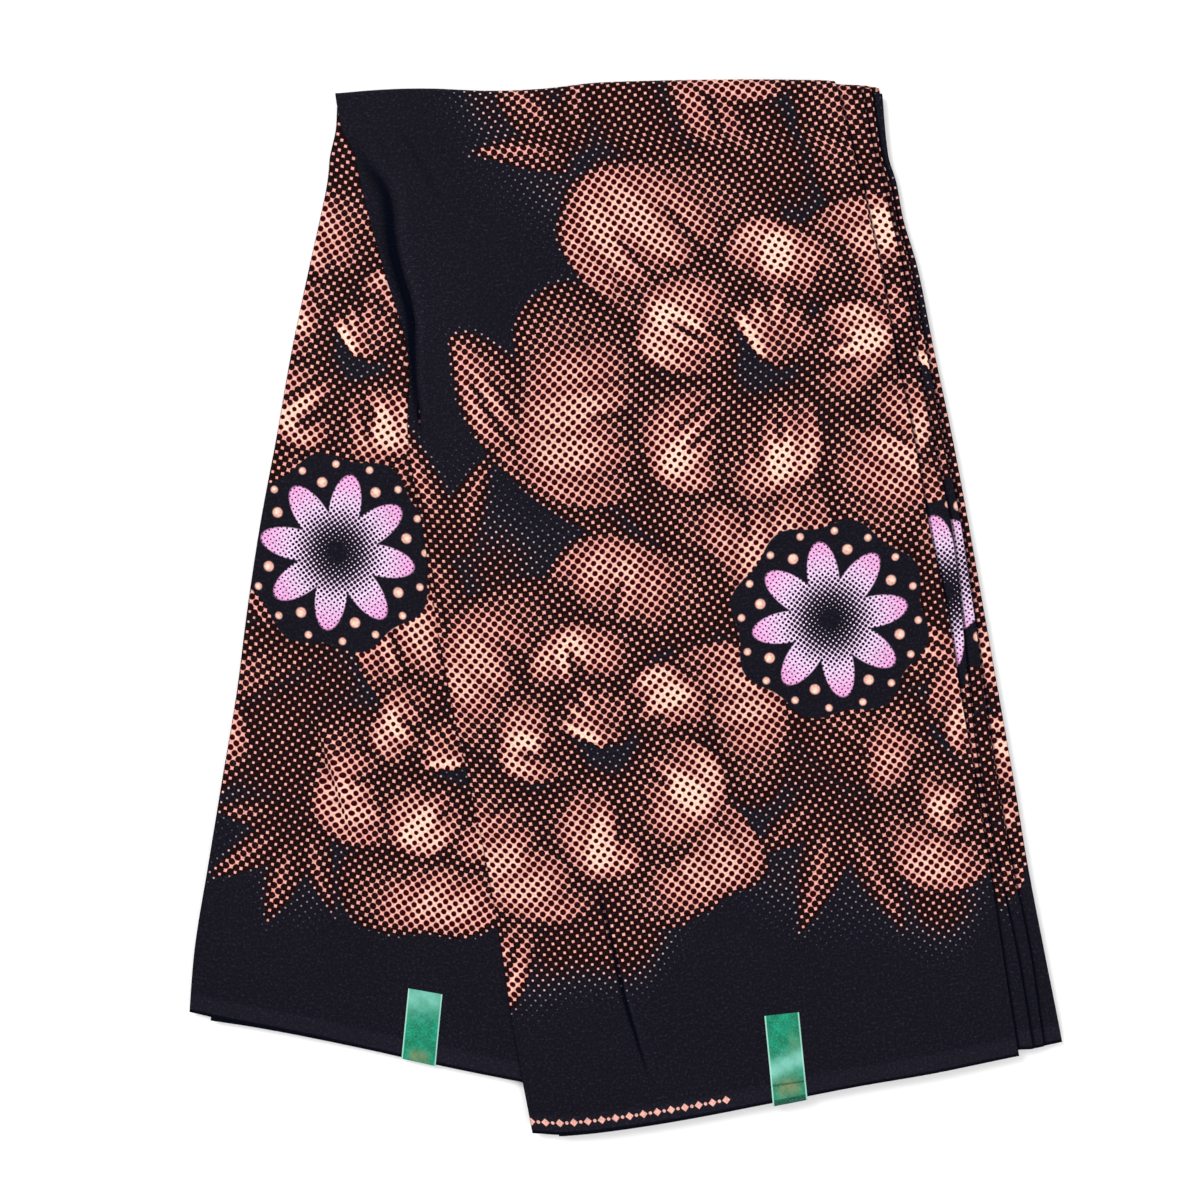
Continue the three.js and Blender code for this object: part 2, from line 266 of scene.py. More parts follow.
def solid_between(outer, inner):
    """Corners and faces of a closed body between two grids of points, upper and lower."""
    rows, columns = outer.shape[:2]
    points = np.concatenate([outer.reshape(-1, 3), inner.reshape(-1, 3)])
    index = np.arange(rows * columns).reshape(rows, columns)
    a, b = index[:-1, :-1].ravel(), index[1:, :-1].ravel()
    c, d = index[1:, 1:].ravel(), index[:-1, 1:].ravel()
    below = rows * columns
    upper = np.stack([a, b, c, d], axis=1)
    lower = np.stack([a, d, c, b], axis=1) + below
    rim = np.concatenate([index[0, :-1], index[:-1, -1], index[-1, :0:-1], index[:0:-1, 0]])
    ahead = np.roll(rim, -1)
    sides = np.stack([rim, ahead, ahead + below, rim + below], axis=1)
    return points, np.concatenate([upper, lower, sides])


def add_object(name, data):
    made = bpy.data.objects.new(name, data)
    bpy.context.collection.objects.link(made)
    return made


def make_piece(name, parts, material):
    """One object from (points, faces, attributes) parts in millimetres."""
    points, faces, start = [], [], 0
    fields = {}
    for part_points, part_faces, attributes in parts:
        points.append(part_points)
        faces.append(part_faces + start)
        start += len(part_points)
        for key, value in attributes.items():
            fields.setdefault(key, []).append(value)
    points = np.concatenate(points) * MM
    faces = np.concatenate(faces)
    mesh = bpy.data.meshes.new(name)
    mesh.vertices.add(len(points))
    mesh.vertices.foreach_set("co", points.ravel())
    mesh.loops.add(faces.size)
    mesh.loops.foreach_set("vertex_index", faces.ravel())
    mesh.polygons.add(len(faces))
    mesh.polygons.foreach_set("loop_start", np.arange(0, faces.size, 4))
    mesh.polygons.foreach_set("use_smooth", np.ones(len(faces), bool))
    mesh.update(calc_edges=True)
    for key, values in fields.items():
        values = np.concatenate(values)
        if key == "cloth_uv":
            layer = mesh.uv_layers.new(name=key)
            layer.data.foreach_set("uv", values[faces.ravel()].ravel())
        elif values.ndim == 1:
            mesh.attributes.new(key, "FLOAT", "POINT").data.foreach_set("value", values)
        else:
            data = mesh.attributes.new(key, "FLOAT_VECTOR", "POINT").data
            data.foreach_set("vector", values.ravel())
    mesh.validate()
    mesh.materials.append(material)
    return add_object(name, mesh)


def inner_skin(outer, thickness):
    """The other face of a cloth whose upper points are given."""
    down = np.gradient(outer, axis=0)
    across = np.gradient(outer, axis=1)
    normal = np.cross(down, across)
    normal /= np.maximum(np.linalg.norm(normal, axis=2, keepdims=True), 1e-9)
    return outer - normal * thickness


# ------------------ the print

REPEAT = 0.62  # metres of cloth before the print comes round again
BLOOM_RADIUS = 0.055

# Large open blossoms: the middle, in metres along the cloth and up from the selvedge,
# then the radius, the turn of the first petal in degrees, and the seed of its draws.
BLOSSOMS = table_of(
    "along up radius turn seed",
    (0.205, 0.425, 0.135, 30, 3),
    (0.085, 0.222, 0.118, 66, 5),
    (0.305, 0.165, 0.082, 8, 8),
    (0.425, 0.395, 0.105, 40, 21),
    (0.525, 0.176, 0.098, 118, 34),
    (0.300, 0.655, 0.110, 200, 13),
)
PETAL_ORDER = (0, 2, 4, 1, 3)  # the petals of a ring, as they are laid over each other
# Long plumes that sweep through behind the blossoms, each from its foot.
PLUMES = table_of(
    "along up heading length width bend",
    (0.170, 0.320, 150, 0.200, 0.052, -0.30),
    (0.175, 0.300, 128, 0.170, 0.046, -0.26),
    (0.255, 0.470, 112, 0.215, 0.070, -0.26),
    (0.285, 0.440, 86, 0.240, 0.076, -0.10),
    (0.300, 0.430, 62, 0.190, 0.060, 0.14),
    (0.160, 0.245, -26, 0.170, 0.052, -0.30),
    (0.165, 0.260, 2, 0.140, 0.046, -0.25),
    (0.310, 0.225, 88, 0.190, 0.056, 0.20),
    (0.325, 0.235, 58, 0.200, 0.052, 0.26),
    (0.490, 0.330, 28, 0.170, 0.050, 0.30),
    (0.485, 0.345, 60, 0.200, 0.058, 0.20),
    (0.600, 0.160, 70, 0.200, 0.054, 0.30),
    (0.445, 0.235, 196, 0.140, 0.046, 0.30),
    (0.030, 0.160, 232, 0.095, 0.036, 0.20),
    (0.500, 0.540, 118, 0.150, 0.050, 0.20),
)
# Sprays of pointed leaves: where the stem starts, the heading of the middle leaf in
# degrees, how long the leaves are, how many, and how wide they fan.
SPRAYS = table_of(
    "along up heading length leaves fan",
    (0.215, 0.178, 262, 0.100, 4, 84),
    (0.010, 0.335, 100, 0.100, 3, 50),
    (0.130, 0.560, 120, 0.085, 3, 60),
    (0.365, 0.285, 250, 0.090, 4, 80),
    (0.520, 0.285, 80, 0.100, 3, 60),
    (0.440, 0.130, 240, 0.080, 4, 76),
    (0.600, 0.250, -76, 0.090, 3, 60),
)
# Small mauve blooms, each on its own dark round.
BLOOMS = table_of("along up", (0.226, 0.272), (0.432, 0.282))
# Where the field of dots behind the motifs dies away into plain ground.
CLEARINGS = table_of(
    "along up reach",
    (0.045, 0.500, 0.105),
    (0.000, 0.580, 0.100),
    (0.350, 0.460, 0.035),
    (0.520, 0.440, 0.050),
    (0.000, 0.410, 0.050),
)
SPECKS = 0.014  # the least tone, which leaves specks all over the plain ground
BORDER = {"low": 0.070, "high": 0.160}  # the plain border above the selvedge
OPEN = {"rise": 0.72, "fall": 0.36}  # outline of a broad petal, widest near its tip
SLIM = {"rise": 0.62, "fall": 1.05}  # outline of a leaf, widest near its foot
PLUME = {"rise": 0.85, "fall": 0.50}
# The least and the greatest tone of each kind of petal.
TONES = {
    "outer": (0.17, 0.56), "inner": (0.17, 0.70), "plume": (0.15, 0.56),
    "leaf": (0.16, 0.58), "stamen": (0.55, 0.95),
}
RINGS = table_of("size offset ribs kind", (1.0, 0.0, 5, "outer"), (0.60, 0.42, 3, "inner"))
STAMEN = {"count": 5, "fan": 0.34, "length": 0.32, "shorter": 0.03, "width": 0.070}
PLUME_VEINS = ((0.3, 0.9, -0.2), (0.45, 0.95, 0.35))  # from, to, and how far aside
VEIN_WIDTH = 0.0022
RIM_FADE = (0.002, 0.016)  # how softly a petal's lit side and its dark side end
SHADOW = {"deep": 0.52, "reach": 0.0095}


def paint_petal(tone, u, v, base, heading, length, width, outline, tones, bend,
                throat, ribs=0, split=0.0, frill=0.0, veins=()):
    """Lays one shaded petal or leaf over the tone, with its shadow on what is behind it."""
    near = np.hypot(u - base[0], v - base[1]) < 1.3 * length
    if not near.any():
        return
    du, dv = u[near] - base[0], v[near] - base[1]
    ca, sa = math.cos(heading), math.sin(heading)
    a = (du * ca + dv * sa) / length
    b = -du * sa + dv * ca - bend * length * a * np.abs(a)
    a = a / (1 + frill * np.cos(b / width * 9 + heading * 3))
    inside = np.clip(a, 1e-4, 1 - 1e-4)
    rise, fall = outline["rise"], outline["fall"]
    widest = rise / (rise + fall)
    peak = widest**rise * (1 - widest) ** fall
    half = 0.5 * width * inside**rise * (1 - inside) ** fall / peak
    gap = np.minimum(half - np.abs(b), np.minimum(a, 1 - a) * length)
    across = np.clip(b / np.maximum(half, 1e-5), -1, 1)
    # Its dark side and its tip die away in ever smaller dots.
    soft = np.maximum(ease((0.3 - across) / 0.9), 0.8 * ease((inside - 0.75) / 0.2))
    soft = mix(*RIM_FADE, soft)
    cover = ease(gap / soft + 0.5) * ease((inside - 0.02) / 0.25)
    light = mix(0.05, 1.0, ease(inside / throat)) * (1 - 0.30 * ease((inside - 0.80) / 0.2))
    light = light * (0.54 + 0.46 * np.cos(1.9 * across - 0.60))
    light = light * (1 - split * ease((across + 0.12) / 0.2))
    rib = (0.5 + 0.5 * np.cos(math.pi * ribs * across + 0.9)) ** 3
    light = light * (1 - 0.50 * rib * (1 - inside) ** 0.5)
    for start, end, side in veins:
        reach = ease((inside - start) / 0.06) * ease((end - inside) / 0.10)
        light = light * (1 - 0.9 * reach * np.exp(-((b - side * half) / VEIN_WIDTH) ** 2))
    shade = mix(*tones, np.clip(light * 1.12, 0, 1) ** 1.9)
    shadow = SHADOW["deep"] * np.exp(-((np.clip(-gap, 0, None) / SHADOW["reach"]) ** 1.1))
    shadow = shadow * ease(inside / 0.3)
    tone[near] = mix(tone[near] * (1 - shadow), shade, cover)


def paint_blossom(tone, u, v, blossom, shift):
    """Broad ribbed petals round a dark throat, a smaller ring inside, and a curved stamen."""
    draws = np.random.default_rng(blossom["seed"])
    middle = (blossom["along"] + shift, blossom["up"])
    radius = blossom["radius"]
    away = np.hypot(u - middle[0], v - middle[1]) / radius
    if not (away < 1.4).any():
        return
    for ring in RINGS:
        for k in PETAL_ORDER:
            turn = math.radians(blossom["turn"])
            turn += 2 * math.pi * (k + ring["offset"]) / len(PETAL_ORDER)
            turn += draws.uniform(-0.16, 0.16)
            length = radius * ring["size"] * draws.uniform(0.88, 1.08)
            veins = [
                (draws.uniform(0.3, 0.45), draws.uniform(0.55, 0.85), draws.uniform(-0.6, 0.6))
                for _ in range(3)
            ]
            paint_petal(
                tone, u, v, middle, turn, length, length * draws.uniform(0.82, 1.00), OPEN,
                TONES[ring["kind"]], bend=draws.uniform(-0.22, 0.22), ribs=ring["ribs"],
                throat=draws.uniform(0.65, 0.9), frill=0.03, veins=veins,
            )
    tone *= 1 - 0.8 * np.exp(-((away / 0.16) ** 2))
    turn = math.radians(blossom["turn"]) + draws.uniform(0.3, 0.9)
    for k in range(STAMEN["count"]):
        aside = k - STAMEN["count"] // 2
        length = radius * (STAMEN["length"] - STAMEN["shorter"] * abs(aside))
        paint_petal(
            tone, u, v, middle, turn + STAMEN["fan"] * aside, length,
            STAMEN["width"] * radius, PLUME, TONES["stamen"], bend=0.1, throat=0.1,
        )


def print_tone(u, v):
    """How much of the cloth is peach, from 0 to 1, at places on the cloth in metres."""
    turn = 2 * math.pi * u / REPEAT
    field = 0.20 + 0.04 * np.sin(turn * 2 + 9 * v) + 0.04 * np.sin(turn * 3 - 14 * v + 1)
    for clearing in CLEARINGS:
        du = (u - clearing["along"] + REPEAT / 2) % REPEAT - REPEAT / 2
        away = np.hypot(du, (v - clearing["up"]) * 0.8) / clearing["reach"]
        away = away * (1 + 0.12 * np.sin(turn * 9 + 31 * v) + 0.10 * np.sin(turn * 4 - 47 * v))
        field *= 1 - 0.97 * np.exp(-(away**2.4))
    wave = 0.022 * np.sin(turn * 3 + 0.7) + 0.012 * np.sin(turn * 7 + 2)
    tone = field * ease((v + wave - BORDER["low"]) / (BORDER["high"] - BORDER["low"]))
    first = math.floor(u.min() / REPEAT) - 1
    last = math.floor(u.max() / REPEAT) + 1
    for period in range(first, last + 1):
        shift = period * REPEAT
        for plume in PLUMES:
            paint_petal(
                tone, u, v, (plume["along"] + shift, plume["up"]), math.radians(plume["heading"]),
                plume["length"], plume["width"], PLUME, TONES["plume"], bend=plume["bend"],
                ribs=4, throat=0.8, veins=PLUME_VEINS,
            )
        for spray in SPRAYS:
            foot = (spray["along"] + shift, spray["up"])
            for k in range(spray["leaves"]):
                share = k / (spray["leaves"] - 1) - 0.5
                length = spray["length"] * (1 - 0.5 * abs(share))
                paint_petal(
                    tone, u, v, foot, math.radians(spray["heading"] + share * spray["fan"]),
                    length, 0.30 * length, SLIM, TONES["leaf"], bend=0.5 * share,
                    throat=0.5, split=0.55,
                )
        for blossom in BLOSSOMS:
            paint_blossom(tone, u, v, blossom, shift)
    patchy = 0.6 + 0.4 * np.sin(turn * 2 + 21 * v) * np.sin(turn * 5 - 17 * v)
    tone = np.maximum(tone, SPECKS * patchy * ease((v - 0.09) / 0.1))
    return tone * ease((v - 0.030) / 0.06)


def bloom_offset(u, v):
    """From each place on the cloth to the nearest mauve bloom, as a vector in metres.

    Past its dark round the vector also stands a metre off the cloth, so that nothing
    between two blooms is taken for the middle of one.
    """
    best = np.full(u.shape, 1e9)
    offset = np.zeros(u.shape + (3,))
    for bloom in BLOOMS:
        du = (u - bloom["along"] + REPEAT / 2) % REPEAT - REPEAT / 2
        dv = v - bloom["up"]
        away = np.hypot(du, dv)
        closer = away < best
        best = np.where(closer, away, best)
        clear = np.where(away > 1.3 * BLOOM_RADIUS, 1.0, 0.0)
        offset[closer] = grid_of(du, dv, clear)[closer]
    return offset


# ------------------ shader groups


THREADS = 2600.0  # to a metre, each way
SLUBS = (150.0, 1100.0, 1.0)  # uneven stretches of thread, to a metre along and across


class Graph:
    """Short ways to place and join the nodes of one tree."""

    def __init__(self, tree):
        self.tree = tree

    def join(self, value, socket):
        """Links a socket to another node's, or sets it to a plain value."""
        if isinstance(value, bpy.types.NodeSocket):
            self.tree.links.new(value, socket)
        else:
            socket.default_value = value

    def node(self, kind, inputs=None, **settings):
        made = self.tree.nodes.new(kind)
        for key, value in settings.items():
            setattr(made, key, value)
        for key, value in (inputs or {}).items():
            self.join(value, made.inputs[key])
        return made

    def use(self, group, **inputs):
        return self.node("ShaderNodeGroup", inputs, node_tree=group).outputs

    def noise(self, place, scale, detail):
        inputs = {"Vector": place, "Scale": scale, "Detail": detail}
        return self.node("ShaderNodeTexNoise", inputs).outputs[0]

    def bump(self, height, strength, distance, **over):
        inputs = {"Height": height, "Strength": strength, "Distance": distance, **over}
        return self.node("ShaderNodeBump", inputs).outputs[0]

    def field(self, name, kind="Fac"):
        """A value that the mesh carries at its points."""
        return self.node("ShaderNodeAttribute", attribute_name=name).outputs[kind]

    def parts(self, vector):
        return self.node("ShaderNodeSeparateXYZ", {0: vector}).outputs

    def math(self, operation, *values, clamp=False):
        made = self.node("ShaderNodeMath", dict(enumerate(values)), operation=operation)
        made.use_clamp = clamp
        return made.outputs[0]

    def times(self, a, b):
        return self.math("MULTIPLY", a, b)

    def minus(self, a, b):
        return self.math("SUBTRACT", a, b)

    def scaled(self, value, by, plus):
        return self.math("MULTIPLY_ADD", value, by, plus)

    def vector(self, operation, *values, out=0):
        inputs = dict(enumerate(values))
        return self.node("ShaderNodeVectorMath", inputs, operation=operation).outputs[out]

    def step(self, value, low, high, start=0.0, end=1.0):
        """A smooth step from start to end as value goes from low to high."""
        inputs = {"Value": value, 1: low, 2: high, 3: start, 4: end}
        made = self.node("ShaderNodeMapRange", inputs, interpolation_type="SMOOTHSTEP")
        return made.outputs[0]

    def blend(self, factor, a, b):
        made = self.node("ShaderNodeMix", data_type="RGBA")
        for place, value in ((0, factor), (6, a), (7, b)):
            self.join(value, made.inputs[place])
        return made.outputs[2]


def new_group(name, inputs, outputs):
    """A shader group. An input without a value is a vector, and the outputs are numbers."""
    tree = bpy.data.node_groups.new(name, "ShaderNodeTree")
    for label, value in inputs.items():
        kind = "NodeSocketVector" if value is None else "NodeSocketFloat"
        socket = tree.interface.new_socket(label, in_out="INPUT", socket_type=kind)
        if value is not None:
            socket.default_value = value
    for label in outputs:
        tree.interface.new_socket(label, in_out="OUTPUT", socket_type="NodeSocketFloat")
    graph = Graph(tree)
    return graph, graph.node("NodeGroupInput").outputs, graph.node("NodeGroupOutput").inputs


def srgb(red, green, blue):
    """A colour given as 0 to 255 on a screen, as the shader wants it."""
    parts = [c / 255 for c in (red, green, blue)]
    return (*[c / 12.92 if c <= 0.04045 else ((c + 0.055) / 1.055) ** 2.4 for c in parts], 1.0)


def halftone_group():
    """Dark round dots on a turned square lattice, which close up to leave small pale squares.

    Depth is how far inside the pale part a place lies, in pitches. It is below 0 in a dot.
    """
    inputs = {"Place": None, "Tone": 0.5, "Pitch": 0.005, "Turn": 0.5}
    g, given, out = new_group("halftone dots", inputs, ["Depth"])
    inputs = {"Vector": given["Place"], "Angle": given["Turn"]}
    turned = g.node("ShaderNodeVectorRotate", inputs, rotation_type="Z_AXIS").outputs[0]
    inputs = {0: given["Pitch"], 1: given["Pitch"], 2: 1.0}
    cells = g.vector("DIVIDE", turned, g.node("ShaderNodeCombineXYZ", inputs).outputs[0])

    def from_middle(shift):
        place = g.vector("FRACTION", g.vector("ADD", cells, (shift, shift, 0.0)))
        return g.vector("LENGTH", g.vector("SUBTRACT", place, (0.5, 0.5, 0.0)), out=1)

    tone = g.math("ADD", given["Tone"], 0.0, clamp=True)
    pale = g.math("SQRT", g.math("DIVIDE", tone, math.pi))
    dark = g.math("SQRT", g.math("DIVIDE", g.minus(1.0, tone), math.pi))
    dark = g.math("MAXIMUM", dark, g.scaled(pale, -0.86, math.sqrt(0.5)))
    joined = g.math("MAXIMUM", g.minus(tone, 0.2), 0.0)
    pale = g.scaled(pale, 1.12, g.times(joined, 1.5))
    outside_dark = g.minus(from_middle(0.0), dark)
    inside_pale = g.minus(pale, from_middle(0.5))
    g.join(g.math("MINIMUM", outside_dark, inside_pale), out["Depth"])
    return g.tree


def weave_group():
    """A plain weave of fine cotton: threads over and under, each a little uneven."""
    inputs = {"Place": None, "Threads": THREADS}
    g, given, out = new_group("plain weave", inputs, ["Height", "Slub"])
    cells = g.vector("SCALE", given["Place"])
    g.join(given["Threads"], cells.node.inputs["Scale"])
    warp, weft = (g.math("SINE", g.times(part, math.pi)) for part in g.parts(cells)[:2])
    over = g.times(warp, weft)
    inputs = {"Vector": given["Place"], "Scale": SLUBS}
    slub = g.noise(g.node("ShaderNodeMapping", inputs).outputs[0], 1.0, 2.0)
    g.join(g.scaled(slub, 0.6, g.times(over, 0.5)), out["Height"])
    g.join(slub, out["Slub"])
    return g.tree


def bloom_group():
    """The mauve bloom: eight round petals, with beads between and round their tips."""
    petals, beads = 8, 16
    inputs = {"Offset": None, "Radius": BLOOM_RADIUS}
    outputs = ["Round", "Petal", "Bead", "Core", "Reach"]
    g, given, out = new_group("mauve bloom", inputs, outputs)
    parts = g.parts(given["Offset"])
    away = g.math("DIVIDE", g.vector("LENGTH", given["Offset"], out=1), given["Radius"])
    angle = g.math("ARCTAN2", parts[1], parts[0])

    def folded(count, half_turn):
        """Distance along and across the nearest of count spokes, in radii."""
        sector = 2 * math.pi / count
        shifted = g.math("ADD", angle, half_turn * sector / 2)
        turn = g.math("WRAP", shifted, sector / 2, -sector / 2)
        return g.times(away, g.math("COSINE", turn)), g.times(away, g.math("SINE", turn))

    def oval(count, half_turn, middle, half_length, half_width, soft):
        along, across = folded(count, half_turn)
        a = g.math("DIVIDE", g.minus(along, middle), half_length)
        b = g.math("DIVIDE", across, half_width)
        size = g.math("SQRT", g.math("ADD", g.times(a, a), g.times(b, b)))
        return g.step(size, 1 + soft, 1 - soft)

    petal = oval(petals, 0, 0.47, 0.36, 0.165, 0.05)
    inner_beads, outer_beads, inner_core, outer_core = (
        oval(count, 1, middle, size, size, soft)
        for count, middle, size, soft in (
            (petals, 0.76, 0.052, 0.2),
            (beads, 0.94, 0.037, 0.25),
            (petals, 0.77, 0.026, 0.6),
            (beads, 0.945, 0.018, 0.6),
        )
    )
    scallop = g.math("COSINE", g.times(angle, petals))
    edge = g.minus(g.scaled(scallop, -0.05, 1.03), away)
    values = (
        g.step(edge, -0.006, 0.012), petal, g.math("MAXIMUM", inner_beads, outer_beads),
        g.math("MAXIMUM", inner_core, outer_core), away,
    )
    for label, value in zip(outputs, values):
        g.join(value, out[label])
    return g.tree


# ------------------ materials

DOT_PITCH = 0.0042  # of the large screen that shades the print
FINE_PITCH = 0.0024  # of the small screen that shades the blooms
DOT_TURN = math.radians(45)
NAVY = srgb(19, 18, 26)
# Painted shade: the dark navy that creases, fold turns, fold shadows and the selvedge's edge are
# darkened towards.
SHADE_NAVY = srgb(1, 4, 15)
UMBER = srgb(25, 7, 7)
WINE = srgb(46, 0, 2)
RUST = srgb(108, 40, 38)
SALMON = srgb(204, 132, 122)
PEACH = srgb(229, 169, 156)
CREAM = srgb(254, 212, 189)
FAINT = srgb(72, 69, 86)
PALE = srgb(222, 190, 190)
ROSE = srgb(232, 160, 212)
MAUVE = srgb(226, 196, 228)
# How many features to a metre each kind of unevenness has.
DRIFT, PATCH, LINT, CLOUD, GRAIN, CRUMPLE = 900.0, 55.0, 640.0, 16.0, 760.0, 38.0
CRUMPLE_HEIGHT = 0.0012
THREAD_HEIGHT = 0.0001
# The selvedge's rim is the width of painted shade along its very edge.
SELVEDGE = {"up": 0.0115, "fray": 0.003, "pale": 0.05, "rim": 0.0024}
SELVEDGE_MARKS = {"up": 0.0070, "pitch": 0.0082, "size": 0.0026, "to": 0.118}
MARK_SOFT = 0.0004


def new_material(name):
    material = bpy.data.materials.new(name)
    material.use_nodes = True
    tree = material.node_tree
    return material, tree.nodes["Principled BSDF"], Graph(tree)


def selvedge_marks(g, parts):
    """A row of small diamonds along the selvedge, with a dot between each two."""
    pitch, size, end = (SELVEDGE_MARKS[key] for key in ("pitch", "size", "to"))
    rise = g.math("ABSOLUTE", g.minus(parts[1], SELVEDGE_MARKS["up"]))
    run = g.math("ABSOLUTE", g.math("WRAP", parts[0], pitch / 2, -pitch / 2))
    diamond = g.step(g.math("ADD", run, rise), size, size - 0.0005)
    beside = g.minus(pitch / 2, run)
    dot = g.math("ADD", g.times(beside, beside), g.times(rise, rise))
    dot = g.step(g.math("SQRT", dot), 0.45 * size, 0.45 * size - MARK_SOFT)
    mark = g.math("MAXIMUM", diamond, dot)
    return g.times(mark, g.step(parts[0], end, end - MARK_SOFT))


def printed_cotton(name, groups, marked):
    """Waxed cotton with the print on it. The front panel has marks along its selvedge."""
    material, shader, g = new_material(name)
    place = g.node("ShaderNodeUVMap", uv_map="cloth_uv").outputs[0]
    parts = g.parts(place)
    printed = g.field("tone")
    painted_shading = g.field("painted_shading")

    # The wax takes the dye unevenly: edges of the dots wander a little.
    drift = g.scaled(g.noise(place, DRIFT, 2.0), 0.09, -0.045)
    tone = g.math("ADD", printed, g.times(drift, g.step(printed, 0.0, 0.2)))
    dots = {"Place": place, "Turn": DOT_TURN}
    depth = g.use(groups["halftone"], Tone=tone, Pitch=DOT_PITCH, **dots)["Depth"]

    # Where little is printed, small pale dots stand on navy.
    thin = g.blend(g.step(printed, 0.02, 0.09), FAINT, PALE)
    thin = g.blend(g.step(depth, -0.03, 0.05), NAVY, thin)

    # Where much is, the ground between the dots is wine, with a rust and salmon rim.
    light = g.blend(g.step(printed, 0.32, 0.78), PEACH, CREAM)
    light = g.blend(g.step(g.noise(place, PATCH, 3.0), 0.42, 0.7, 0.0, 0.25), light, SALMON)
    dyed = g.blend(g.step(printed, 0.22, 0.44), UMBER, WINE)
    ring = g.times(g.step(depth, -0.09, 0.00), g.step(printed, 0.15, 0.40, 0.3))
    rich = g.blend(ring, dyed, RUST)
    rich = g.blend(g.step(depth, -0.03, 0.02), rich, SALMON)
    rich = g.blend(g.step(depth, 0.0, 0.06), rich, light)
    colour = g.blend(g.step(printed, 0.05, 0.12), thin, rich)
    colour = g.blend(g.step(printed, 0.004, 0.02), NAVY, colour)

    # The mauve blooms on their dark rounds.
    bloom = g.use(groups["bloom"], Offset=g.field("bloom", "Vector"), Radius=BLOOM_RADIUS)
    fine_tone = g.step(bloom["Reach"], 0.10, 0.74, 0.04, 1.0)
    fine = g.use(groups["halftone"], Tone=fine_tone, Pitch=FINE_PITCH, **dots)["Depth"]
    petal = g.blend(g.step(bloom["Reach"], 0.45, 0.85), MAUVE, ROSE)
    petal = g.blend(g.step(fine, -0.05, 0.06), NAVY, petal)
    for part, dye in (("Round", NAVY), ("Petal", petal), ("Bead", PEACH), ("Core", CREAM)):
        colour = g.blend(bloom[part], colour, dye)

    # Threads: every pick takes the dye a little differently, and some stay pale.
    weave = g.use(groups["weave"], Place=place)
    colour = g.blend(g.step(weave["Slub"], 0.56, 0.80, 0.0, 0.10), colour, FAINT)
    colour = g.blend(g.step(g.noise(place, LINT, 3.0), 0.50, 0.74, 0.0, 0.16), colour, FAINT)

    # A firmer, slightly paler band along the selvedge, and painted shade along its very edge.
    frayed = g.scaled(weave["Slub"], 0.004, parts[1])
    up, rim = SELVEDGE["up"], SELVEDGE["rim"]
    band = g.step(frayed, up + SELVEDGE["fray"], up, 0.0, SELVEDGE["pale"])
    colour = g.blend(band, colour, FAINT)
    # Painted shade along the selvedge's very edge.
    colour = g.blend(g.step(parts[1], rim, 0.5 * rim, 0.0, 0.8), colour, SHADE_NAVY)
    if marked:
        colour = g.blend(selvedge_marks(g, parts), colour, PEACH)

    # Uneven tone and grain in the cloth, then painted shading: ridges painted paler as a highlight,
    # and troughs, fold turns and the strips beside covering folds painted darker as shade, troughs
    # also duller.
    cloudy = g.noise(place, CLOUD, 4.0)
    value = g.scaled(cloudy, 0.26, 0.55)
    grain = g.step(g.noise(place, GRAIN, 2.0), 0.34, 0.66)
    value = g.scaled(grain, 0.36, value)
    # Painted highlight on crease ridges.
    value = g.times(value, g.step(painted_shading, 0.0, 0.5, 1.0, 1.25))
    # Painted shade in crease troughs, round fold turns and beside covering folds.
    colour = g.blend(g.step(painted_shading, -0.02, -0.85, 0.0, 0.86), colour, SHADE_NAVY)
    colour = g.node("ShaderNodeHueSaturation", {"Color": colour, "Value": value}).outputs[0]
    rough = g.scaled(weave["Slub"], 0.16, 0.40)
    rough = g.scaled(cloudy, 0.10, rough)
    rough = g.scaled(g.step(painted_shading, -0.1, -0.8), 0.30, rough)
    soft = g.bump(g.noise(place, CRUMPLE, 5.0), 0.30, CRUMPLE_HEIGHT)
    threads = g.bump(weave["Height"], 0.35, THREAD_HEIGHT, Normal=soft)
    g.join(colour, shader.inputs["Base Color"])
    g.join(rough, shader.inputs["Roughness"])
    g.join(threads, shader.inputs["Normal"])
    shader.inputs["Specular IOR Level"].default_value = 0.015
    shader.inputs["Sheen Weight"].default_value = 0.008
    shader.inputs["Sheen Roughness"].default_value = 0.40
    return material


# Colours of the labels' satin, and how many features to a metre its unevenness has.
GREEN, BRIGHT_GREEN = srgb(0, 106, 76), srgb(8, 132, 102)
# GLEAM is the colour of a painted highlight band.
GLEAM, RIM, FADED = srgb(112, 178, 162), srgb(168, 218, 202), srgb(140, 196, 178)
# The second colour here is painted shade, for the fold line and where the satin turns under.
TARNISH, SHADE_GREEN = srgb(118, 116, 76), srgb(4, 52, 42)
SATIN_GRAIN, SATIN_CLOUD, SATIN_FADE = 2600.0, 160.0, 900.0


